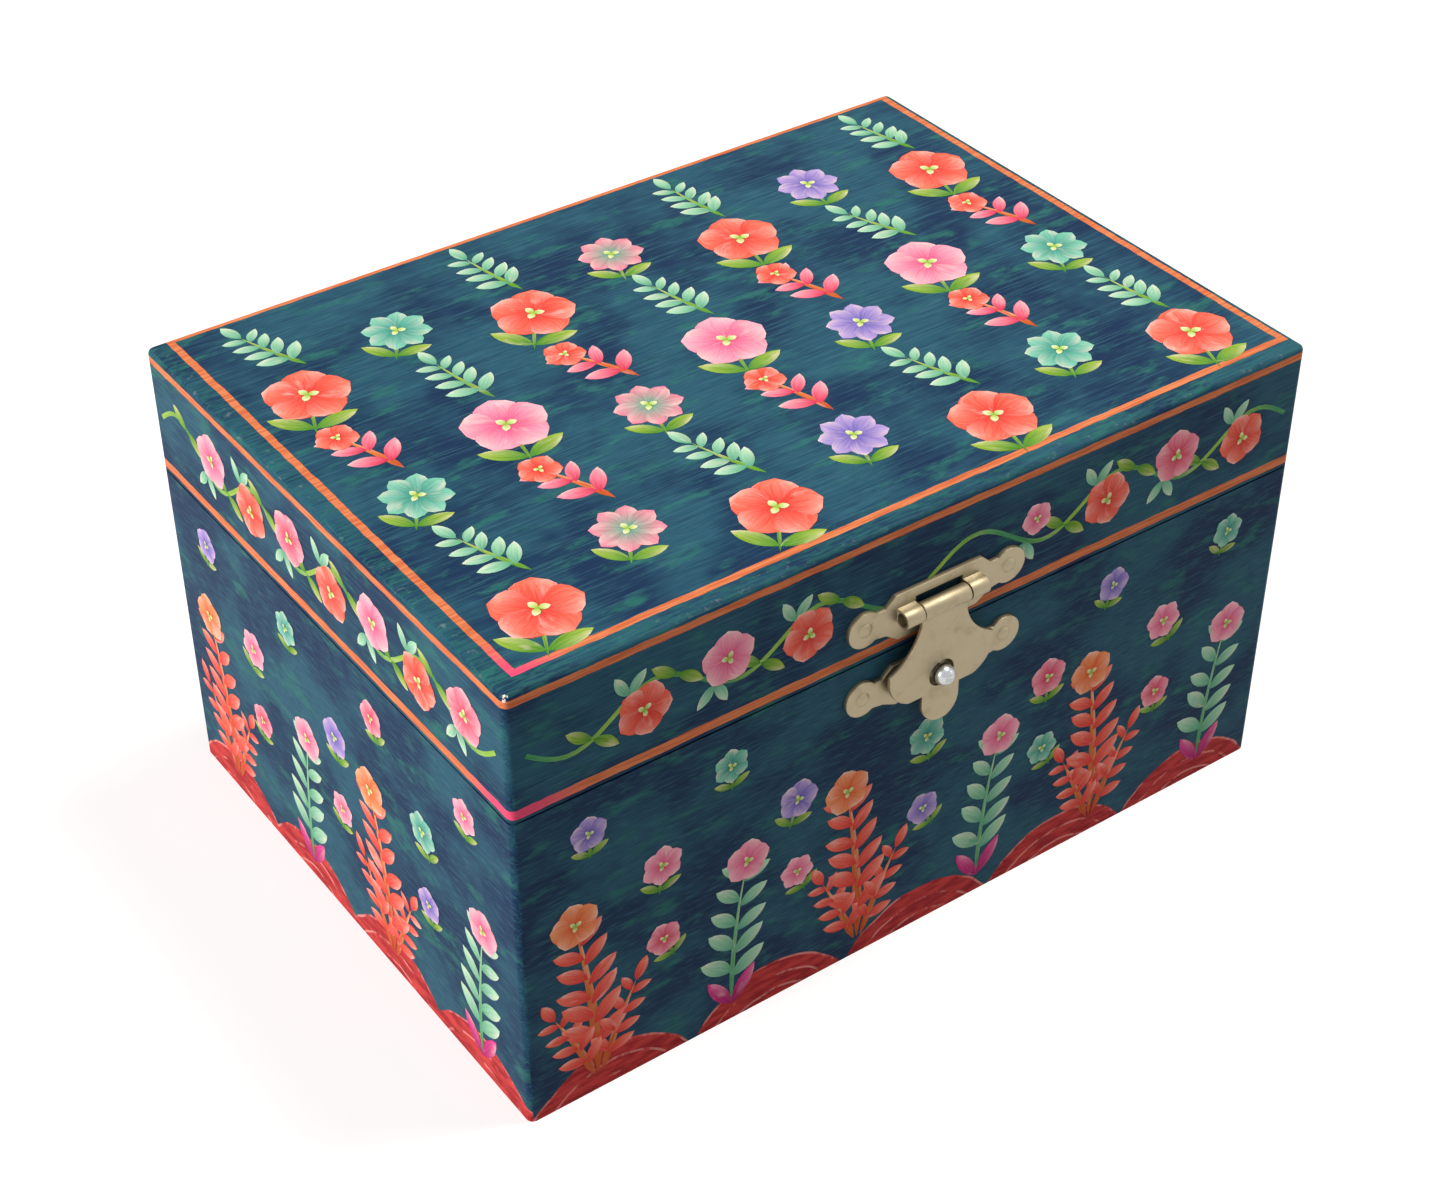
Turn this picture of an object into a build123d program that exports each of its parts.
from build123d import *
import math
import os

# Musical jewelry box. Millimetres, +Z up, the front with the hasp faces -Y. The origin is the centre of the
# underside, so the box stands on z = 0.

# Outside of the box
box_width = 150.0
box_depth = 107.0
base_height = 60.8
lid_gap = 0.4
lid_height = 22.8
corner_radius = 1.2
top_edge_radius = 0.9

# Boards and coverings
paper = 0.3
wall_board = 5.0
floor_board = 4.0
top_board = 4.0
lining = 0.8
rim_step = 0.5

# Inner partitions
divider = 2.5
deck_clearance = 2.84
front_depth = 50.2
cross_divider_x = 0.0
housing_width = 76.0
deck_board = 2.5
deck_felt = 0.6

# Ring rolls
roll_count = 5
roll_gap = 0.4
roll_height = 27.5
roll_end_gap = 0.5
roll_rounding = 1.2
roll_crest = 0.1

# Mirror in the lid
mirror_width = 104.0
mirror_depth = 54.0
mirror_front_margin = 14.2
mirror_glass = 2.0
mirror_frame_thickness = 2.6
mirror_lip = 0.6

# Nails and running fits
nail_radius = 0.5
nail_head_radius = 1.25
nail_head_height = 0.55
nail_length = 4.2
running_gap = 0.05
snug_gap = 0.02

# Hasp on the front
hasp_plate = 0.8
hasp_axis_above_seam = 6.7
hasp_axis_proud = 2.0
hasp_barrel_radius = 1.5
hasp_pin_radius = 0.7
hasp_body_half = 8.7
hasp_body_rise = 3.9
hasp_body_drop = 4.5
lug_spacing = 27.6
lug_radius = 3.1
lug_neck_half = 2.2
hasp_shoulder_inset = 0.4
hasp_shoulder_flare = 1.4
hasp_foot_inset = 1.2
hasp_foot_rise = 0.6
flap_barrel_length = 8.8
ear_length = 3.3
ear_gap = 0.2
ear_web_rise = 0.5
slot_rise = 1.2
slot_drop = 1.0
flap_drop = 22.1
flap_half_width = 10.1
flap_shoulder_drop = 9.7
flap_lower_drop = 16.4
tongue_half = 3.6
flap_hole_radius = 2.35
flap_back_offset = 0.2
flap_top_share = 0.4
flap_neck_drop = 2.9
flap_neck_swell = 2.2
flap_neck_swell_rise = 2.5
flap_edge = 1.8
flap_lobe_inset = 1.2
flap_lobe_rise = 1.9
flap_lower_inset = 3.8
stud_drop = 13.2
stud_ball_radius = 1.75
stud_neck_radius = 1.0
stud_shank_depth = 2.0
stud_proud = 4.8

# Hinges on the back
hinge_spacing = 92.0
hinge_width = 20.0
hinge_leaf = 0.8
hinge_leaf_height = 12.0
hinge_axis_proud = 1.7
hinge_barrel_radius = 1.5
hinge_pin_radius = 0.7
hinge_middle = 7.4
hinge_side_gap = 0.3
hinge_notch = 1.95
knuckle_web = 0.4
hinge_nail_inset = 3.6
hinge_nail_drop = 8.0
stop_heel_length = 2.55
stop_heel_thickness = 0.8
stop_heel_gap = 0.08
lid_opening = 100.0

# Movement
movement_x = -17.0
comb_floor_gap = 1.2
bedplate_thickness = 2.5
bedplate_width = 56.0
bedplate_floor_gap = 0.7
bedplate_rise = 9.0
bedplate_wheel_gap = 0.6
bush_height = 0.9
bush_radius = 3.2
barrel_end_play = 0.3
bedplate_x = -1.5
arbor_radius = 1.6
barrel_radius = 11.0
barrel_depth = 8.8
barrel_wall = 1.0
spring_strip = 0.35
spring_turns = 6
spring_inner_radius = 2.3
spring_side_gap = 0.4
spring_open_gap = 0.8
spring_rim_gap = 0.3
arbor_end = 0.9
washer_radius = 2.4
washer_gap = 0.2
gear_module = 0.5
tooth_tip = 0.8
tooth_root = 1.05
crown_tip = 0.7
crown_root = 1.2
figure_crown_root = 1.15
tooth_share = 0.72
crown_share = 0.62
crown_teeth = 36
pinion_teeth = 12
crown_face = 1.6
cylinder_radius = 6.5
cylinder_length = 18.0
cylinder_bracket_gap = 0.9
cylinder_gear_gap = 1.3
wheel_barrel_gap = 9.0
pin_height = 0.6
pin_radius = 0.22
pin_sink = 0.4
note_turn = 0.382
rhythm_turn = 0.07
pinion_half = 1.0
arbor_proud = 0.5
pins_per_note = 5
note_count = 18
note_pitch = 1.0
comb_thickness = 1.0
comb_gap = 0.2
comb_tooth_length = 9.0
comb_root = 4.2
comb_slot = 0.25
comb_slope = 0.35
comb_screw_radius = 0.8
comb_screw_length = 6.0
comb_screw_inset = 4.5
comb_screw_head_radius = 1.5
comb_screw_head = 0.9
end_gear_margin = 0.9
end_gear_teeth = 40
idler_pinion_teeth = 10
idler_wheel_teeth = 32
fly_pinion_teeth = 8
figure_crown_teeth = 60
figure_wheel_thickness = 1.2
wheel_rim = 0.1
gear_width = 1.5
frame_plate = 1.5
barrel_side_gap = 0.6
gear_side_gap = 0.8
bracket_front = 3.2
bracket_rise = 5.0
bracket_drop = 6.0
frame_front = 3.5
frame_near_rise = 4.0
frame_far_rise = 4.0
frame_drop = 1.0
arbor_thin = 1.0
idler_arbor = 0.7
fly_arbor = 0.5
fly_reach = 4.8
fly_width = 4.0
fly_thickness = 0.5
fly_hub_radius = 1.1
fly_arbor_inset = 0.2
idler_wheel_thickness = 1.2
idler_wheel_gap = 1.2
pinion_overlap = 0.3
thin_arbor_proud = 0.4
governor_span = 9.9

# Winding key
key_hub_radius = 3.0
key_hub_length = 6.5
key_stand_off = 0.7
key_socket_depth = 4.0
key_wing_lift = 0.6
key_neck_width = 3.6
key_neck_sink = 1.0
key_wing_radius = 5.2
key_wing_hole = 2.3
key_wing_spacing = 10.4
key_thickness = 1.6
key_hole_radius = 3.4
screw_radius = 1.1
screw_head_radius = 2.0
screw_head = 1.0
screw_slot_depth = 0.5
screw_slot_half = 0.25
low_screw_offsets = ((-7.5, -10.5), (26.0, -14.0))
high_screw_offset = (30.0, 7.5)

# Dancing figure and its turntable
spindle_radius = 1.0
turntable_radius = 6.5
turntable_thickness = 1.2
turntable_rounding = 0.5
turntable_lift = 0.9
spindle_bush_radius = 3.0
bush_end_play = 0.3
bush_proud = 0.3
foot_spring_radius = 2.2
foot_spring_wire = 0.5
foot_spring_pitch = 1.0
foot_spring_turns = 5
figure_headroom = 2.4
skirt_radius = 7.0
skirt_fit = 0.3
skirt_half = 1.2
skirt_droop = 1.8
foot_sink = 1.6
sole_gap = 0.1
sole_height = 0.9
ankle_radius = 0.75
leg_radius = 1.25
hip_radius = 1.65
waist_radius = 1.35
chest_radius = 1.9
shoulder_radius = 1.2
neck_radius = 0.7
head_radius = 1.75
bun_radius = 0.95
arm_radius = 0.5
arm_reach = 4.2
ankle_share = 0.10
hip_share = 0.46
waist_share = 0.56
chest_share = 0.66
neck_share = 0.74
head_share = 0.82
bun_share = 0.905

# Stop rod that the lid presses
stop_rod_radius = 1.0
stop_rod_inset = 2.2
stop_rod_travel = 3.0
stop_rod_rounding = 0.5
stop_peg_radius = 2.0
stop_peg_gap = 0.3
stop_peg_length = 13.3
rod_collar_radius = 1.8
rod_collar_gap = 0.3
rod_bush_drop = 0.7
rod_bush_radius = 2.4
rod_collar_height = 1.0
rod_fly_gap = 0.5

# Places worked out from the sizes above
half_w = box_width / 2
half_d = box_depth / 2
board_x = half_w - paper
board_y = half_d - paper
inner_x = board_x - wall_board
inner_y = board_y - wall_board
floor_z = paper + floor_board
rim_z = base_height
lid_z = base_height + lid_gap
top_z = lid_z + lid_height
seam_z = base_height + lid_gap / 2
ceiling_z = top_z - paper - top_board
long_front_y = -inner_y + front_depth
long_back_y = long_front_y + divider
housing_x = housing_width / 2
lining_top = rim_z - rim_step

hasp_z = seam_z + hasp_axis_above_seam
hasp_y = -half_d - hasp_axis_proud
lug_x = lug_spacing / 2
stud_z = hasp_z - stud_drop
hinge_y = half_d + hinge_axis_proud
hinge_z = seam_z

crown_radius = gear_module * crown_teeth / 2
pinion_radius = gear_module * pinion_teeth / 2
end_gear_radius = cylinder_radius + pin_height + end_gear_margin
train_module = 2 * end_gear_radius / end_gear_teeth
bedplate_y = inner_y - bedplate_thickness
barrel_back_y = bedplate_y - bush_height - barrel_end_play
barrel_face_y = barrel_back_y - barrel_depth
cylinder_y = barrel_face_y - crown_root * gear_module - pinion_radius
comb_foot_z = floor_z + comb_floor_gap
comb_tip_z = comb_foot_z + comb_root + comb_tooth_length
movement_z = comb_tip_z + comb_gap + pin_height + cylinder_radius
pinion_x = movement_x + crown_radius
barrel_reach = max(barrel_radius, crown_radius + crown_face / 2)
left_bracket_x = max(movement_x + barrel_reach + barrel_side_gap, pinion_x + pinion_half + barrel_side_gap)
bracket_x1 = left_bracket_x + frame_plate
cylinder_x = bracket_x1 + cylinder_bracket_gap
cylinder_end_x = cylinder_x + cylinder_length
figure_crown_radius = train_module * figure_crown_teeth / 2
figure_wheel_radius = figure_crown_radius + gear_width / 2 + wheel_rim
figure_clear_x = movement_x + wheel_barrel_gap + figure_wheel_radius
end_gear_x = max(cylinder_end_x + cylinder_gear_gap, figure_clear_x + figure_crown_radius - gear_width / 2)
idler_pinion_radius = train_module * idler_pinion_teeth / 2
idler_wheel_radius = train_module * idler_wheel_teeth / 2
fly_pinion_radius = train_module * fly_pinion_teeth / 2
idler_z = movement_z - end_gear_radius - idler_pinion_radius
fly_y = cylinder_y - idler_wheel_radius - fly_pinion_radius
figure_x = end_gear_x + gear_width / 2 - figure_crown_radius
figure_y = cylinder_y
right_plate_x = end_gear_x + gear_width + gear_side_gap
far_plate_x = right_plate_x + frame_plate + governor_span
note_x = cylinder_x + (cylinder_length - (note_count - 1) * note_pitch) / 2
vane_x1 = far_plate_x - gear_side_gap
vane_x0 = vane_x1 - fly_width
stop_rod_x = vane_x1 - stop_rod_inset
stop_rod_y = fly_y

figure_pitch_z = movement_z + end_gear_radius
wheel_face_z = figure_pitch_z + figure_crown_root * train_module
wheel_top_z = wheel_face_z + figure_wheel_thickness
partition_z = wheel_top_z + deck_clearance
deck_z = partition_z + deck_board
felt_z = deck_z + deck_felt
frame_low = ceiling_z - mirror_frame_thickness
stop_rod_top = frame_low - stop_peg_length - stop_peg_gap

os.makedirs("parts", exist_ok=True)


def block(x0, x1, y0, y1, z0, z1):
    """A box between two opposite corners, given in any order."""
    return Pos((x0 + x1) / 2, (y0 + y1) / 2, (z0 + z1) / 2) * Box(abs(x1 - x0), abs(y1 - y0), abs(z1 - z0))


def bar(radius, start, end):
    """A round bar from one point to another."""
    first = Vector(*start)
    along = Vector(*end) - first
    return extrude(Plane(origin=first, z_dir=along) * Circle(radius), along.length)


def bar_x(radius, x0, x1, y, z):
    """A round bar that runs along X."""
    return bar(radius, (x0, y, z), (x1, y, z))


def bar_y(radius, x, y0, y1, z):
    """A round bar that runs along Y."""
    return bar(radius, (x, y0, z), (x, y1, z))


def bar_z(radius, x, y, z0, z1):
    """A round bar that stands upright."""
    return bar(radius, (x, y, z0), (x, y, z1))


def both(piece):
    """A piece and its mirror image across the middle of the box."""
    return piece + mirror(piece, Plane.YZ)


def tray(x0, x1, y0, y1, z0, z1, wall):
    """An open box of thin walls and a floor."""
    hollow = block(x0 + wall, x1 - wall, y0 + wall, y1 - wall, z0 + wall, z1 + 1)
    return block(x0, x1, y0, y1, z0, z1) - hollow


def slab(outline, low, high):
    """A flat outline raised from one height to another."""
    return extrude(Pos(0, 0, low) * outline, high - low)


def front_slab(outline, inner_y_place, thickness):
    """An outline drawn in X and Z, standing off the front face towards the viewer."""
    plane = Plane(origin=(0, inner_y_place, 0), x_dir=(1, 0, 0), z_dir=(0, -1, 0))
    return extrude(plane * outline, thickness)


def save(name, piece):
    """One STEP file for each piece."""
    export_step(piece, f"parts/{name}.step")


# Outlines of the covered box, seen from above
outer_outline = RectangleRounded(2 * half_w, 2 * half_d, corner_radius)
board_outline = RectangleRounded(2 * board_x, 2 * board_y, corner_radius - paper)
inner_outline = Rectangle(2 * inner_x, 2 * inner_y)
wall_outline = board_outline - inner_outline


def wall_part(x0, x1, y0, y1, low, high):
    """The stretch of the wall ring that lies between two corners."""
    region = Pos((x0 + x1) / 2, (y0 + y1) / 2) * Rectangle(x1 - x0, y1 - y0)
    return slab(wall_outline & region, low, high)


# Nail shanks, which also cut the holes that they sit in
def nail(x, y_face, z, outward):
    """A domed nail driven into a face; outward is -1 on the front and +1 on the back."""
    shank = bar_y(nail_radius, x, y_face - outward * nail_length, y_face, z)
    dome_radius = (nail_head_radius**2 + nail_head_height**2) / (2 * nail_head_height)
    ball = Pos(x, y_face + outward * (nail_head_height - dome_radius), z) * Sphere(dome_radius)
    slice_y = sorted((y_face, y_face + outward * nail_head_height))
    reach = nail_head_radius + 1
    head = ball & block(x - reach, x + reach, slice_y[0], slice_y[1], z - reach, z + reach)
    return shank + head


def nail_hole(x, y_face, z, outward):
    """The hole that a nail's shank fills."""
    return bar_y(nail_radius, x, y_face - outward * nail_length, y_face + outward, z)


hasp_face_y = -half_d - hasp_plate
hinge_face_y = half_d + hinge_leaf
upper_hasp_nail_places = [(x, hasp_face_y, hasp_z) for x in (-lug_x, lug_x)]
lower_hasp_nail_places = [(x, hasp_face_y, stud_z) for x in (-lug_x, lug_x)]
hinge_nail_spread = hinge_width / 2 - hinge_nail_inset
hinge_nail_xs = [side * hinge_spacing / 2 + way * hinge_nail_spread for side in (-1, 1) for way in (-1, 1)]
lid_hinge_nail_places = [(x, hinge_face_y, hinge_z + hinge_nail_drop) for x in hinge_nail_xs]
base_hinge_nail_places = [(x, hinge_face_y, hinge_z - hinge_nail_drop) for x in hinge_nail_xs]

upper_hasp_holes = [nail_hole(x, y, z, -1) for x, y, z in upper_hasp_nail_places]
lower_hasp_holes = [nail_hole(x, y, z, -1) for x, y, z in lower_hasp_nail_places]
lid_hinge_holes = [nail_hole(x, y, z, 1) for x, y, z in lid_hinge_nail_places]
base_hinge_holes = [nail_hole(x, y, z, 1) for x, y, z in base_hinge_nail_places]

stud_shank = bar_y(stud_neck_radius, 0, -half_d + stud_shank_depth, hasp_face_y - 1, stud_z)
key_hole_end = (movement_x, half_d + 1, movement_z)
key_hole = bar(key_hole_radius, (movement_x, inner_y - 1, movement_z), key_hole_end)
screw_offsets = [*low_screw_offsets, high_screw_offset]
movement_screw_places = [(movement_x + across, movement_z + up) for across, up in screw_offsets]
movement_holes = [
    bar_y(screw_radius, x, bedplate_y, half_d + 1, z) for x, z in movement_screw_places
]

# Base: four walls, a floor, the printed paper outside, and plain paper underneath
wall_top = rim_z - paper
base_front = wall_part(-board_x, board_x, -board_y, -inner_y, paper, wall_top)
base_front = base_front - lower_hasp_holes - stud_shank
base_back = wall_part(-board_x, board_x, inner_y, board_y, paper, wall_top)
base_back = base_back - base_hinge_holes - movement_holes - key_hole
save("base_front_board", base_front)
save("base_back_board", base_back)
save("base_left_board", wall_part(-board_x, -inner_x, -inner_y, inner_y, paper, wall_top))
save("base_right_board", wall_part(inner_x, board_x, -inner_y, inner_y, paper, wall_top))
save("base_floor_board", block(-inner_x, inner_x, -inner_y, inner_y, paper, floor_z))
save("bottom_paper", slab(board_outline, 0, paper))

base_skin = slab(outer_outline - board_outline, 0, rim_z) + slab(wall_outline, wall_top, rim_z)
base_skin = base_skin - lower_hasp_holes - stud_shank - base_hinge_holes - movement_holes - key_hole
save("base_print_paper", base_skin)

# Lid: the same construction upside down, with its top edges rounded over
lid_board_low = lid_z + paper
lid_core = slab(board_outline, lid_board_low, top_z - paper)
lid_core = fillet(lid_core.faces().sort_by(Axis.Z)[-1].edges(), top_edge_radius - paper)
lid_shell = slab(outer_outline, lid_z, top_z)
lid_shell = fillet(lid_shell.faces().sort_by(Axis.Z)[-1].edges(), top_edge_radius)
lid_hollow = slab(inner_outline, lid_z - 1, lid_board_low)
lid_skin = lid_shell - lid_core - lid_hollow - upper_hasp_holes - lid_hinge_holes
save("lid_print_paper", lid_skin)
save("lid_top_board", lid_core & block(-half_w, half_w, -half_d, half_d, ceiling_z, top_z))
lid_front = wall_part(-board_x, board_x, -board_y, -inner_y, lid_board_low, ceiling_z) - upper_hasp_holes
lid_back = wall_part(-board_x, board_x, inner_y, board_y, lid_board_low, ceiling_z) - lid_hinge_holes
save("lid_front_board", lid_front)
save("lid_back_board", lid_back)
lid_side = wall_part(inner_x, board_x, -inner_y, inner_y, lid_board_low, ceiling_z)
save("lid_side_boards", both(lid_side))

# Lid lining, the padded card frame round the mirror, and the mirror
side_lining = slab(inner_outline, lid_z + rim_step, ceiling_z) - slab(
    Rectangle(2 * (inner_x - lining), 2 * (inner_y - lining)), lid_z, ceiling_z + 1
)
save("lid_side_lining", side_lining)
mirror_y0 = -inner_y + mirror_front_margin
mirror_y1 = mirror_y0 + mirror_depth
frame_x = inner_x - lining
frame_y = inner_y - lining
mirror_frame = block(-frame_x, frame_x, -frame_y, frame_y, frame_low, ceiling_z)
mirror_x = mirror_width / 2
window_x = mirror_x - mirror_lip
mirror_seat = block(-mirror_x, mirror_x, mirror_y0, mirror_y1, ceiling_z - mirror_glass, ceiling_z)
mirror_window = block(
    -window_x, window_x, mirror_y0 + mirror_lip, mirror_y1 - mirror_lip, frame_low - 1, ceiling_z
)
save("mirror_frame", mirror_frame - mirror_seat - mirror_window)
save("mirror", mirror_seat)
peg_low = frame_low - stop_peg_length
peg_end = (stop_rod_x, stop_rod_y, peg_low)
save("lid_stop_peg", bar(stop_peg_radius, peg_end, (stop_rod_x, stop_rod_y, frame_low)))

# Partitions, and the deck over the movement
save("long_divider", block(-inner_x, inner_x, long_front_y, long_back_y, floor_z, partition_z))
cross_x0 = cross_divider_x - divider / 2
cross_x1 = cross_divider_x + divider / 2
save("cross_divider", block(cross_x0, cross_x1, -inner_y, long_front_y, floor_z, partition_z))
housing_wall = block(housing_x, housing_x + divider, long_back_y, inner_y, floor_z, partition_z)
save("housing_dividers", both(housing_wall))
deck_x = housing_x + divider
hole_z0 = partition_z - 1
hole_z1 = felt_z + 1
spindle_hole = bar_z(spindle_bush_radius, figure_x, figure_y, hole_z0, hole_z1)
rod_hole = bar_z(rod_bush_radius, stop_rod_x, stop_rod_y, hole_z0, hole_z1)
deck = block(-deck_x, deck_x, long_front_y, inner_y, partition_z, deck_z) - spindle_hole - rod_hole
felt = block(-deck_x, deck_x, long_front_y, inner_y - lining, deck_z, felt_z) - spindle_hole - rod_hole
save("deck_board", deck)
save("deck_felt", felt)

# Linings of the compartments, and the band of lining above them
band = slab(inner_outline, partition_z, lining_top) - slab(
    Rectangle(2 * (inner_x - lining), 2 * (inner_y - lining)), partition_z - 1, lining_top + 1
)
band = band - block(-deck_x, deck_x, long_front_y, inner_y, partition_z, deck_z)
save("wall_lining", band)
save("rear_linings", both(tray(deck_x, inner_x, long_back_y, inner_y, floor_z, partition_z, lining)))
front_right_tray = tray(cross_x1, inner_x, -inner_y, long_front_y, floor_z, partition_z, lining)
front_left_tray = tray(-inner_x, cross_x0, -inner_y, long_front_y, floor_z, partition_z, lining)
save("front_right_lining", front_right_tray)
save("front_left_lining", front_left_tray)

# Ring rolls: soft bars side by side, with rounded tops, that hold rings between them
roll_low = floor_z + lining
roll_x0 = -inner_x + lining + roll_end_gap
roll_x1 = cross_x0 - lining - roll_end_gap
roll_y0 = -inner_y + lining + roll_gap
roll_y1 = long_front_y - lining - roll_gap
roll_width = (roll_y1 - roll_y0 - (roll_count - 1) * roll_gap) / roll_count
roll_top_radius = roll_width / 2 - roll_crest
rolls = []
for number in range(roll_count):
    low_y = roll_y0 + number * (roll_width + roll_gap)
    roll = block(roll_x0, roll_x1, low_y, low_y + roll_width, roll_low, roll_low + roll_height)
    long_edges = roll.faces().sort_by(Axis.Z)[-1].edges().filter_by(Axis.X)
    roll = fillet(long_edges, roll_top_radius)
    end_edges = roll.faces().sort_by(Axis.X)[0].edges() + roll.faces().sort_by(Axis.X)[-1].edges()
    upper_edges = end_edges.filter_by(lambda edge: edge.bounding_box().max.Z > roll_low + roll_rounding)
    roll = fillet(upper_edges, roll_rounding)
    rolls.append(roll)
save("ring_rolls", Compound(rolls))


# Hasp: an upper plate with two rolled ears on the lid, a swinging flap, and a lower plate with a ball stud
def lugged_plate(centre_z, rise, drop):
    """A plate with a round nailing lug at each end, joined by narrow necks."""
    body_points = [
        (-hasp_body_half - hasp_shoulder_flare, centre_z + lug_neck_half),
        (-hasp_body_half + hasp_shoulder_inset, centre_z + rise),
        (hasp_body_half - hasp_shoulder_inset, centre_z + rise),
        (hasp_body_half + hasp_shoulder_flare, centre_z + lug_neck_half),
        (lug_x, centre_z + lug_neck_half),
        (lug_x, centre_z - lug_neck_half),
        (hasp_body_half + hasp_foot_inset, centre_z - lug_neck_half - hasp_foot_rise),
        (hasp_body_half - hasp_foot_inset, centre_z - drop),
        (-hasp_body_half + hasp_foot_inset, centre_z - drop),
        (-hasp_body_half - hasp_foot_inset, centre_z - lug_neck_half - hasp_foot_rise),
        (-lug_x, centre_z - lug_neck_half),
        (-lug_x, centre_z + lug_neck_half),
    ]
    outline = make_face(Polyline(*body_points, close=True))
    for x in (-lug_x, lug_x):
        outline = outline + Pos(x, centre_z) * Circle(lug_radius)
    return outline


ear_x0 = flap_barrel_length / 2 + ear_gap
ear_x1 = ear_x0 + ear_length
ear = bar_x(hasp_barrel_radius, ear_x0, ear_x1, hasp_y, hasp_z)
ear = ear + block(ear_x0, ear_x1, hasp_face_y, hasp_y, hasp_z + ear_web_rise, hasp_z + hasp_barrel_radius)
slot = block(-ear_x0, ear_x0, hasp_face_y - 1, -half_d, hasp_z - slot_drop, hasp_z + slot_rise)
pin_bore = bar_x(hasp_pin_radius + snug_gap, -ear_x1 - 1, ear_x1 + 1, hasp_y, hasp_z)
upper_plate = front_slab(lugged_plate(hasp_z, hasp_body_rise, hasp_body_drop), -half_d, hasp_plate)
upper_plate = upper_plate - slot + both(ear) - pin_bore - upper_hasp_holes
save("hasp_upper_plate", upper_plate)
save("hasp_pin", bar_x(hasp_pin_radius, -ear_x1, ear_x1, hasp_y, hasp_z))

lower_plate = front_slab(lugged_plate(stud_z, hasp_body_rise, hasp_body_rise), -half_d, hasp_plate)
save("hasp_lower_plate", lower_plate - lower_hasp_holes - stud_shank)
ball_y = -half_d - stud_proud + stud_ball_radius
stud = bar_y(stud_neck_radius, 0, -half_d + stud_shank_depth, ball_y, stud_z)
save("hasp_stud", stud + Pos(0, ball_y, stud_z) * Sphere(stud_ball_radius))

flap_back_y = hasp_y + flap_back_offset
flap_top = hasp_z - hasp_barrel_radius * flap_top_share
flare_z = hasp_z - flap_neck_drop
shoulder_z = hasp_z - flap_shoulder_drop
lower_z = hasp_z - flap_lower_drop
edge_z = shoulder_z - flap_edge
tongue_low_z = hasp_z - flap_drop
tongue_z = tongue_low_z + tongue_half
tongue_slant = tongue_half * math.sqrt(0.5)
barrel_half = flap_barrel_length / 2
lower_half = flap_half_width - flap_lower_inset
neck_swell = (barrel_half + flap_neck_swell, shoulder_z + flap_neck_swell_rise)
lobe = (flap_half_width - flap_lobe_inset, lower_z + flap_lobe_rise)
half_flap = [
    Line((0, flap_top), (barrel_half, flap_top)),
    Line((barrel_half, flap_top), (barrel_half, flare_z)),
    ThreePointArc((barrel_half, flare_z), neck_swell, (flap_half_width, shoulder_z)),
    Line((flap_half_width, shoulder_z), (flap_half_width, edge_z)),
    ThreePointArc((flap_half_width, edge_z), lobe, (lower_half, lower_z)),
    Line((lower_half, lower_z), (tongue_half, lower_z)),
    Line((tongue_half, lower_z), (tongue_half, tongue_z)),
    ThreePointArc((tongue_half, tongue_z), (tongue_slant, tongue_z - tongue_slant), (0, tongue_low_z)),
    Line((0, tongue_low_z), (0, flap_top)),
]
flap = both(front_slab(make_face(half_flap), flap_back_y, hasp_plate))
flap = flap + bar_x(hasp_barrel_radius, -barrel_half, barrel_half, hasp_y, hasp_z)
flap_bore = bar_x(hasp_pin_radius + running_gap, -barrel_half - 1, barrel_half + 1, hasp_y, hasp_z)
flap_hole = bar_y(flap_hole_radius, 0, flap_back_y + 1, flap_back_y - hasp_plate - 1, stud_z)
save("hasp_flap", flap - flap_bore - flap_hole)
save("upper_hasp_nails", Compound([nail(x, y, z, -1) for x, y, z in upper_hasp_nail_places]))
save("lower_hasp_nails", Compound([nail(x, y, z, -1) for x, y, z in lower_hasp_nail_places]))


# Hinges: two small butt hinges nailed to the back, with a heel that stops the lid
def leaf(x, way, knuckles, notch):
    """A hinge leaf: a nailed plate above (way 1) or below (way -1) the pin, and its knuckles."""
    low, high = sorted((hinge_z, hinge_z + way * hinge_leaf_height))
    plate = block(x - hinge_width / 2, x + hinge_width / 2, half_d, hinge_face_y, low, high)
    for x0, x1 in notch:
        z0, z1 = sorted((hinge_z - way, hinge_z + way * hinge_notch))
        plate = plate - block(x0, x1, half_d - 1, hinge_face_y + 1, z0, z1)
    for x0, x1 in knuckles:
        plate = plate + bar_x(hinge_barrel_radius, x0, x1, hinge_y, hinge_z)
        z0, z1 = sorted((hinge_z, hinge_z + way * hinge_barrel_radius))
        plate = plate + block(x0, x1, half_d, hinge_face_y + knuckle_web, z0, z1)
    return plate


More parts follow.
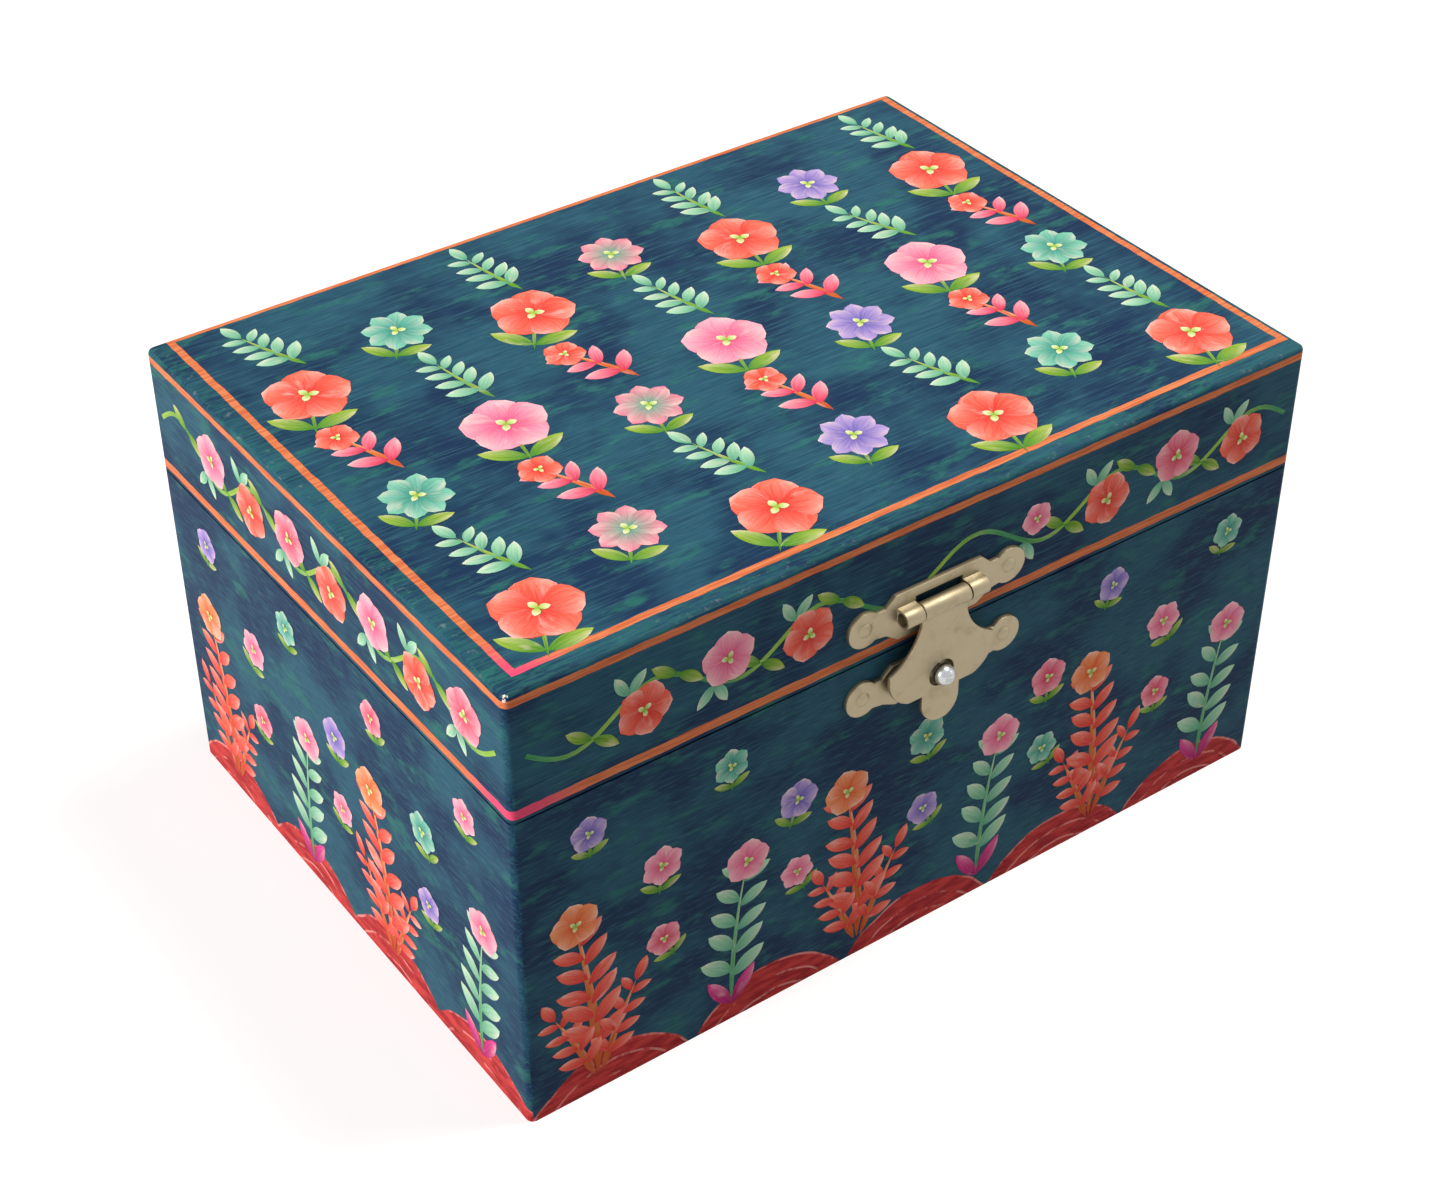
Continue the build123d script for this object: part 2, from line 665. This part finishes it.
heel_half = stop_heel_thickness / 2
heel_reach = hinge_axis_proud - hinge_leaf - stop_heel_gap
heel_corner = math.atan2(heel_half, stop_heel_length)
heel_tilt = math.asin(heel_reach / math.hypot(stop_heel_length, heel_half)) - heel_corner
heel_angle = lid_opening - 90 - math.degrees(heel_tilt)
base_leaves = []
lid_leaves = []
hinge_pins = []
for side in (-1, 1):
    hx = side * hinge_spacing / 2
    x_out = hx - hinge_width / 2, hx + hinge_width / 2
    x_mid = hx - hinge_middle / 2, hx + hinge_middle / 2
    outer_knuckles = [(x_out[0], x_mid[0] - hinge_side_gap), (x_mid[1] + hinge_side_gap, x_out[1])]
    base_leaf = leaf(hx, -1, outer_knuckles, [(x_mid[0] - hinge_side_gap, x_mid[1] + hinge_side_gap)])
    lid_leaf = leaf(hx, 1, [x_mid], [(x_out[0] - 1, x_mid[0]), (x_mid[1], x_out[1] + 1)])
    heel = block(x_mid[0], x_mid[1], 0, stop_heel_length, -heel_half, heel_half)
    lid_leaf = lid_leaf + Pos(0, hinge_y, hinge_z) * (Rot(heel_angle, 0, 0) * heel)
    snug_bore = bar_x(hinge_pin_radius + snug_gap, x_out[0] - 1, x_out[1] + 1, hinge_y, hinge_z)
    loose_bore = bar_x(hinge_pin_radius + running_gap, x_out[0] - 1, x_out[1] + 1, hinge_y, hinge_z)
    base_leaves.append(base_leaf - snug_bore)
    lid_leaves.append(lid_leaf - loose_bore)
    hinge_pins.append(bar_x(hinge_pin_radius, x_out[0], x_out[1], hinge_y, hinge_z))
save("hinge_base_leaves", Compound(base_leaves) - base_hinge_holes)
save("hinge_lid_leaves", Compound(lid_leaves) - lid_hinge_holes)
save("hinge_pins", Compound(hinge_pins))
save("base_hinge_nails", Compound([nail(x, y, z, 1) for x, y, z in base_hinge_nail_places]))
save("lid_hinge_nails", Compound([nail(x, y, z, 1) for x, y, z in lid_hinge_nail_places]))


# Gears
def involute(angle):
    """The involute function of a pressure angle."""
    return math.tan(angle) - angle


def gear_outline(teeth, module, turn=0):
    """A spur gear outline with involute flanks; one tooth is centred at the turn angle."""
    pitch = module * teeth / 2
    pressure = math.radians(20)
    base = pitch * math.cos(pressure)
    tip = pitch + tooth_tip * module
    root = pitch - tooth_root * module
    half_tooth = tooth_share * math.pi / (2 * teeth)
    flank = [max(root, base) + (tip - max(root, base)) * step / 3 for step in range(4)]
    points = []
    for number in range(teeth):
        middle = math.radians(turn) + 2 * math.pi * number / teeth
        rising = [(root, half_tooth + involute(pressure))]
        for radius in flank:
            lean = half_tooth + involute(pressure) - involute(math.acos(min(1.0, base / radius)))
            rising.append((radius, lean))
        for radius, lean in rising:
            points.append((radius * math.cos(middle - lean), radius * math.sin(middle - lean)))
        for radius, lean in reversed(rising):
            points.append((radius * math.cos(middle + lean), radius * math.sin(middle + lean)))
    return make_face(Polyline(*points, close=True))


def gear_on_x(outline, x0, x1, y, z):
    """A gear outline turned so that its axis runs along X; its zero angle points along +Y."""
    return extrude(Plane(origin=(x0, y, z), x_dir=(0, 1, 0), z_dir=(1, 0, 0)) * outline, x1 - x0)


def crown_ring(teeth, module, face, root):
    """Crown teeth round a ring, standing up from a pitch plane at zero; a gap is centred at zero angle."""
    radius = module * teeth / 2
    pitch = math.pi * module
    lean = math.tan(math.radians(20))
    half = crown_share * pitch / 4
    root_drop = root * module
    tip_rise = crown_tip * module
    profile = Polyline(
        (-half - root_drop * lean, -root_drop),
        (half + root_drop * lean, -root_drop),
        (half - tip_rise * lean, tip_rise),
        (-half + tip_rise * lean, tip_rise),
        close=True,
    )
    tooth_plane = Plane(origin=(radius - face / 2, 0, 0), x_dir=(0, 1, 0), z_dir=(1, 0, 0))
    tooth = extrude(tooth_plane * make_face(profile), face)
    return [Rot(0, 0, (number + 0.5) * 360 / teeth) * tooth for number in range(teeth)]


# Movement: a plate screwed inside the back wall carries the barrel, the pinned cylinder and the governor
bed_x0 = bedplate_x - bedplate_width / 2
bed_x1 = bedplate_x + bedplate_width / 2
bed_z0 = floor_z + bedplate_floor_gap
bed_z1 = movement_z + bedplate_rise
arbor_bore = bar_y(arbor_radius + running_gap, movement_x, 0, half_d + 5, movement_z)
bedplate = block(bed_x0, bed_x1, bedplate_y, inner_y, bed_z0, bed_z1)
bush = bar_y(bush_radius, movement_x, bedplate_y - bush_height, bedplate_y, movement_z)
wheel_reach = figure_wheel_radius + bedplate_wheel_gap
wheel_low_z = figure_pitch_z - crown_tip * train_module - bedplate_wheel_gap
wheel_room = bar_z(wheel_reach, figure_x, figure_y, wheel_low_z, bed_z1 + 1)
bedplate = bedplate + bush - arbor_bore - movement_holes - wheel_room
save("movement_bedplate", bedplate)

bracket_z0 = movement_z - bracket_drop
bracket_z1 = movement_z + bracket_rise
bracket_y0 = cylinder_y - bracket_front
left_bracket = block(left_bracket_x, bracket_x1, bracket_y0, bedplate_y, bracket_z0, bracket_z1)
cylinder_bore = bar_x(arbor_thin + running_gap, -inner_x, inner_x, cylinder_y, movement_z)
idler_bore = bar_x(idler_arbor + running_gap, -inner_x, inner_x, cylinder_y, idler_z)
fly_bore = bar_x(fly_arbor + running_gap, -inner_x, inner_x, fly_y, idler_z)
save("cylinder_bracket", left_bracket - cylinder_bore)
frame_z0 = idler_z - fly_reach - frame_drop
frame_z1 = idler_z + frame_far_rise
frame_y0 = fly_y - frame_front
near_plate_x1 = right_plate_x + frame_plate
near_z1 = movement_z + frame_near_rise
near_plate = block(right_plate_x, near_plate_x1, frame_y0, bedplate_y, frame_z0, near_z1)
far_plate = block(far_plate_x, far_plate_x + frame_plate, frame_y0, bedplate_y, frame_z0, frame_z1)
frame_foot = block(right_plate_x, far_plate_x, bedplate_y - frame_plate, bedplate_y, frame_z0, frame_z1)
governor_frame = near_plate + far_plate + frame_foot - cylinder_bore - idler_bore - fly_bore
save("governor_frame", governor_frame)

comb_x0 = note_x - note_pitch / 2
comb_x1 = comb_x0 + note_count * note_pitch
comb_y0 = cylinder_y - comb_thickness / 2
comb_y1 = cylinder_y + comb_thickness / 2
comb = block(comb_x0, comb_x1, comb_y0, comb_y1, comb_foot_z, comb_tip_z)
comb_slots = []
for number in range(1, note_count):
    middle = comb_x0 + number * note_pitch
    low = comb_tip_z - comb_tooth_length * (1 - comb_slope * number / note_count)
    comb_slots.append(
        block(middle - comb_slot / 2, middle + comb_slot / 2, comb_y0 - 1, comb_y1 + 1, low, comb_tip_z + 1)
    )
comb_screw_z = comb_foot_z + comb_root / 2
comb_screw_xs = (comb_x0 + comb_screw_inset, comb_x1 - comb_screw_inset)
comb_head_y = comb_y0 - comb_screw_head
comb_screw_shanks = [
    bar_y(comb_screw_radius, x, comb_y0, comb_y1 + comb_screw_length, comb_screw_z)
    for x in comb_screw_xs
]
save("tuned_comb", comb - comb_slots - comb_screw_shanks)
riser = block(comb_x0, comb_x1, comb_y1, bedplate_y, comb_foot_z, comb_foot_z + comb_root)
save("comb_riser", riser - comb_screw_shanks)
comb_screws = [
    shank + bar_y(comb_screw_head_radius, x, comb_head_y, comb_y0, comb_screw_z)
    for x, shank in zip(comb_screw_xs, comb_screw_shanks)
]
save("comb_screws", Compound(comb_screws))

movement_screws = []
for x, z in movement_screw_places:
    head = bar_y(screw_head_radius, x, half_d, half_d + screw_head, z)
    slot_y = half_d + screw_head - screw_slot_depth
    slot_x0 = x - screw_head_radius
    slot_x1 = x + screw_head_radius
    slot_z0 = z - screw_slot_half
    slot_z1 = z + screw_slot_half
    screw_slot = block(slot_x0, slot_x1, slot_y, half_d + screw_head + 1, slot_z0, slot_z1)
    movement_screws.append(bar_y(screw_radius, x, bedplate_y, half_d, z) + head - screw_slot)
save("movement_screws", Compound(movement_screws))

# Spring barrel, mainspring and winding arbor
inner_barrel = barrel_radius - barrel_wall
barrel = bar_y(barrel_radius, movement_x, barrel_face_y, barrel_back_y, movement_z)
barrel_floor_y = barrel_face_y + barrel_wall
hollow = bar_y(inner_barrel, movement_x, barrel_floor_y, barrel_back_y + 1, movement_z)
crown_y = cylinder_y + pinion_radius
crown_plane = Plane(origin=(movement_x, crown_y, movement_z), x_dir=(1, 0, 0), z_dir=(0, -1, 0))
crown = [crown_plane * tooth for tooth in crown_ring(crown_teeth, gear_module, crown_face, crown_root)]
save("spring_barrel", barrel - hollow - arbor_bore + crown)

spring_low_y = barrel_floor_y + spring_side_gap
spring_high_y = barrel_back_y - spring_open_gap
spring_pitch = (inner_barrel - spring_rim_gap - spring_strip - spring_inner_radius) / spring_turns
spiral = []
for offset in (0, spring_strip):
    arcs = []
    radius = spring_inner_radius + offset
    centre = 0.0
    for half_turn in range(2 * spring_turns):
        way = 1 if half_turn % 2 == 0 else -1
        arcs.append(CenterArc((centre, 0), radius, 0 if way == 1 else 180, 180))
        radius = radius + spring_pitch / 2
        centre = centre + way * spring_pitch / 2
    spiral.append(arcs)
closers = [Line(spiral[0][0] @ 0, spiral[1][0] @ 0), Line(spiral[0][-1] @ 1, spiral[1][-1] @ 1)]
spring_face = make_face(spiral[0] + spiral[1] + closers)
spring_plane = Plane(origin=(movement_x, spring_high_y, movement_z), x_dir=(1, 0, 0), z_dir=(0, -1, 0))
save("mainspring", extrude(spring_plane * spring_face, spring_high_y - spring_low_y))

arbor_end_y = barrel_face_y - arbor_end
key_y0 = half_d + key_stand_off
key_y1 = key_y0 + key_hub_length
arbor_tip_y = key_y0 + key_socket_depth
arbor = bar_y(arbor_radius, movement_x, arbor_end_y, arbor_tip_y, movement_z)
washer_y = barrel_face_y - washer_gap
washer = bar_y(washer_radius, movement_x, arbor_end_y, washer_y, movement_z)
save("winding_arbor", arbor + washer)
wing_y = key_y1 + key_wing_radius * key_wing_lift
key = bar_y(key_hub_radius, movement_x, key_y0, key_y1, movement_z)
wing_outline = Rectangle(key_neck_width, 2 * (wing_y - key_y1) + 2 * key_neck_sink)
for way in (-1, 1):
    wing_outline = wing_outline + Pos(way * key_wing_spacing / 2, 0) * Circle(key_wing_radius)
for way in (-1, 1):
    wing_outline = wing_outline - Pos(way * key_wing_spacing / 2, 0) * Circle(key_wing_hole)
wing_plane = Pos(movement_x, wing_y, movement_z - key_thickness / 2) * Plane.XY
wings = extrude(wing_plane * wing_outline, key_thickness)
socket = bar_y(arbor_radius, movement_x, key_y0 - 1, arbor_tip_y, movement_z)
save("winding_key", key + wings - socket)

# Pinned cylinder and its arbor, with the driving pinion at one end and the governor gear at the other
cylinder = bar_x(cylinder_radius, cylinder_x, cylinder_end_x, cylinder_y, movement_z)
pins = []
for note in range(note_count):
    for count in range(pins_per_note):
        turns = note * note_turn + count / pins_per_note + rhythm_turn * (note % 3) * count
        pin = bar_z(pin_radius, 0, 0, cylinder_radius - pin_sink, cylinder_radius + pin_height)
        turned = Rot(360 * (turns % 1), 0, 0) * pin
        pins.append(Pos(note_x + note * note_pitch, cylinder_y, movement_z) * turned)
pinion_x0 = pinion_x - pinion_half
pinion_x1 = pinion_x + pinion_half
shaft_end_x = near_plate_x1 + arbor_proud
shaft = bar_x(arbor_thin, pinion_x0, shaft_end_x, cylinder_y, movement_z)
save("pinned_cylinder", cylinder + pins - shaft)
pinion = gear_outline(pinion_teeth, gear_module)
end_gear = gear_outline(end_gear_teeth, train_module)
end_gear_x1 = end_gear_x + gear_width
cylinder_arbor = shaft + gear_on_x(pinion, pinion_x0, pinion_x1, cylinder_y, movement_z)
cylinder_arbor = cylinder_arbor + gear_on_x(end_gear, end_gear_x, end_gear_x1, cylinder_y, movement_z)
save("cylinder_arbor", cylinder_arbor)

# Governor: an idler wheel and a fly that turns against the air
idler_x0 = end_gear_x - pinion_overlap
idler_x1 = end_gear_x + gear_width + pinion_overlap
arbor_x1 = far_plate_x + frame_plate + thin_arbor_proud
idler = bar_x(idler_arbor, idler_x0, arbor_x1, cylinder_y, idler_z)
idler_pinion = gear_outline(idler_pinion_teeth, train_module)
idler_wheel = gear_outline(idler_wheel_teeth, train_module)
wheel_x = near_plate_x1 + idler_wheel_gap
wheel_x1 = wheel_x + idler_wheel_thickness
idler = idler + gear_on_x(idler_pinion, idler_x0, idler_x1, cylinder_y, idler_z)
idler = idler + gear_on_x(idler_wheel, wheel_x, wheel_x1, cylinder_y, idler_z)
save("idler_wheel", idler)
fly = bar_x(fly_arbor, right_plate_x + fly_arbor_inset, arbor_x1, fly_y, idler_z)
fly_turn = 180 / fly_pinion_teeth
fly_pinion = gear_outline(fly_pinion_teeth, train_module, fly_turn)
fly = fly + gear_on_x(fly_pinion, wheel_x - pinion_overlap, wheel_x1 + pinion_overlap, fly_y, idler_z)
fly = fly + bar_x(fly_hub_radius, vane_x0, vane_x1, fly_y, idler_z)
vane_y0 = fly_y - fly_thickness / 2
vane_y1 = fly_y + fly_thickness / 2
fly = fly + block(vane_x0, vane_x1, vane_y0, vane_y1, idler_z - fly_reach, idler_z + fly_reach)
save("governor_fly", fly)

# Dancing figure: a crown wheel driven by the end gear turns the spindle, the turntable and the figure
figure_plane = Plane(origin=(figure_x, figure_y, figure_pitch_z), x_dir=(1, 0, 0), z_dir=(0, 0, -1))
figure_ring = crown_ring(figure_crown_teeth, train_module, gear_width, figure_crown_root)
figure_teeth = [figure_plane * tooth for tooth in figure_ring]
bush_low_z = wheel_top_z + bush_end_play
rod_bush_low = partition_z - rod_bush_drop
bush_high_z = felt_z + bush_proud
turntable_z = felt_z + turntable_lift
turntable_top = turntable_z + turntable_thickness
spindle = bar_z(spindle_radius, figure_x, figure_y, wheel_face_z, turntable_top)
figure_wheel = bar_z(figure_wheel_radius, figure_x, figure_y, wheel_face_z, wheel_top_z)
save("figure_spindle", spindle + figure_wheel + figure_teeth)
table = bar_z(turntable_radius, figure_x, figure_y, turntable_z, turntable_top)
table = fillet(table.faces().sort_by(Axis.Z)[-1].edges(), turntable_rounding) - spindle
save("turntable", table)
spindle_bush = bar_z(spindle_bush_radius, figure_x, figure_y, bush_low_z, bush_high_z)
spindle_bore = bar_z(spindle_radius + running_gap, figure_x, figure_y, 0, lid_z)
rod_bush = bar_z(rod_bush_radius, stop_rod_x, stop_rod_y, rod_bush_low, bush_high_z)
rod_bore = bar_z(stop_rod_radius + running_gap, stop_rod_x, stop_rod_y, 0, lid_z)
save("deck_bushes", Compound([spindle_bush - spindle_bore, rod_bush - rod_bore]))


def coil_path(radius, pitch, turns, low_z):
    """A coil as pairs of tangent arcs, each pair a quarter turn, so that the wire bends smoothly."""
    steps = round(turns * 4)
    slope = pitch / (2 * math.pi)
    arcs = []
    for step in range(steps):
        a0 = math.pi / 2 * step
        a1 = a0 + math.pi / 2
        p0 = Vector(radius * math.cos(a0), radius * math.sin(a0), low_z + slope * a0)
        p1 = Vector(radius * math.cos(a1), radius * math.sin(a1), low_z + slope * a1)
        t0 = Vector(-radius * math.sin(a0), radius * math.cos(a0), slope).normalized()
        t1 = Vector(-radius * math.sin(a1), radius * math.cos(a1), slope).normalized()
        chord = p1 - p0
        both_ways = chord.dot(t0 + t1)
        spread = 2 * (1 - t0.dot(t1))
        reach = (-both_ways + math.sqrt(both_ways**2 + spread * chord.dot(chord))) / spread
        joint = (p0 + t0 * reach + p1 - t1 * reach) * 0.5
        arcs.append(TangentArc(p0, joint, tangent=t0))
        arcs.append(TangentArc(joint, p1, tangent=(p1 - t1 * reach) - (p0 + t0 * reach)))
    return arcs


def coil_gap(radius, pitch, turns, wire):
    """The least gap between neighbouring turns of a coil, measured on points."""
    count = round(turns * 48)
    slope = pitch / (2 * math.pi)
    angles = [2 * math.pi * turns * number / count for number in range(count + 1)]
    places = [(radius * math.cos(a), radius * math.sin(a), slope * a) for a in angles]
    gaps = [math.dist(places[i], places[j]) for i in range(count) for j in range(i + 30, count)]
    return min(gaps) - wire


coil_low = turntable_top + foot_spring_wire / 2
coil_arcs = coil_path(foot_spring_radius, foot_spring_pitch, foot_spring_turns, coil_low)
wire_start = Plane(origin=coil_arcs[0] @ 0, z_dir=coil_arcs[0] % 0)
coil = sweep(wire_start * Circle(foot_spring_wire / 2), path=Wire(coil_arcs))
save("figure_spring", Pos(figure_x, figure_y, 0) * coil)
spring_gap = coil_gap(foot_spring_radius, foot_spring_pitch, foot_spring_turns, foot_spring_wire)
print("figure spring gap", round(spring_gap, 3))

# The dancer stands on the spring with raised arms; her skirt is a separate stiff disc of net
toe_z = coil_low + foot_spring_pitch * foot_spring_turns - foot_sink
crown_z = frame_low - figure_headroom
tall = crown_z - toe_z
ankle_z = toe_z + ankle_share * tall
hip_z = toe_z + hip_share * tall
waist_z = toe_z + waist_share * tall
chest_z = toe_z + chest_share * tall
neck_z = toe_z + neck_share * tall
head_z = toe_z + head_share * tall
bun_z = toe_z + bun_share * tall
arm_z = neck_z - 1.0
sole_radius = foot_spring_radius - foot_spring_wire / 2 - sole_gap
profile = [
    (0, toe_z),
    (sole_radius, toe_z),
    (sole_radius, toe_z + sole_height),
    (ankle_radius, ankle_z),
    (leg_radius, hip_z - 3.0),
    (hip_radius, hip_z),
    (waist_radius, waist_z),
    (chest_radius, chest_z),
    (shoulder_radius, neck_z - 0.9),
    (neck_radius, neck_z),
    (neck_radius - 0.1, head_z),
    (0, head_z),
]
body = revolve(make_face(Plane.XZ * Polyline(*profile, close=True)), Axis.Z)
body = body + Pos(0, 0, head_z) * Sphere(head_radius) + Pos(0, 0, bun_z) * Sphere(bun_radius)
hand = (shoulder_radius - 0.4, 0, crown_z - arm_radius)
arm_path = ThreePointArc((shoulder_radius + 0.1, 0, arm_z), (arm_reach, 0, head_z - 0.6), hand)
arm = sweep(Plane(origin=arm_path @ 0, z_dir=arm_path % 0) * Circle(arm_radius), path=arm_path)
save("dancer", Pos(figure_x, figure_y, 0) * (body + arm + mirror(arm, Plane.YZ)))
skirt_hole = hip_radius + skirt_fit
skirt_z = hip_z + 0.2
skirt_profile = Polyline(
    (skirt_hole, skirt_z),
    (skirt_radius, skirt_z - skirt_droop),
    (skirt_radius, skirt_z - skirt_half),
    (skirt_hole, skirt_z + skirt_half),
    close=True,
)
save("dancer_skirt", Pos(figure_x, figure_y, 0) * revolve(make_face(Plane.XZ * skirt_profile), Axis.Z))

# Stop rod: the closed lid holds it down over the fly, and it rises when the lid opens
rod_low_z = idler_z + fly_reach + rod_fly_gap
collar_z = rod_bush_low - stop_rod_travel - rod_collar_gap - rod_collar_height
stop_rod = bar_z(stop_rod_radius, stop_rod_x, stop_rod_y, rod_low_z, stop_rod_top)
stop_rod = fillet(stop_rod.faces().sort_by(Axis.Z)[-1].edges(), stop_rod_rounding)
collar_top_z = collar_z + rod_collar_height
rod_collar = bar_z(rod_collar_radius, stop_rod_x, stop_rod_y, collar_z, collar_top_z)
save("stop_rod", stop_rod + rod_collar)
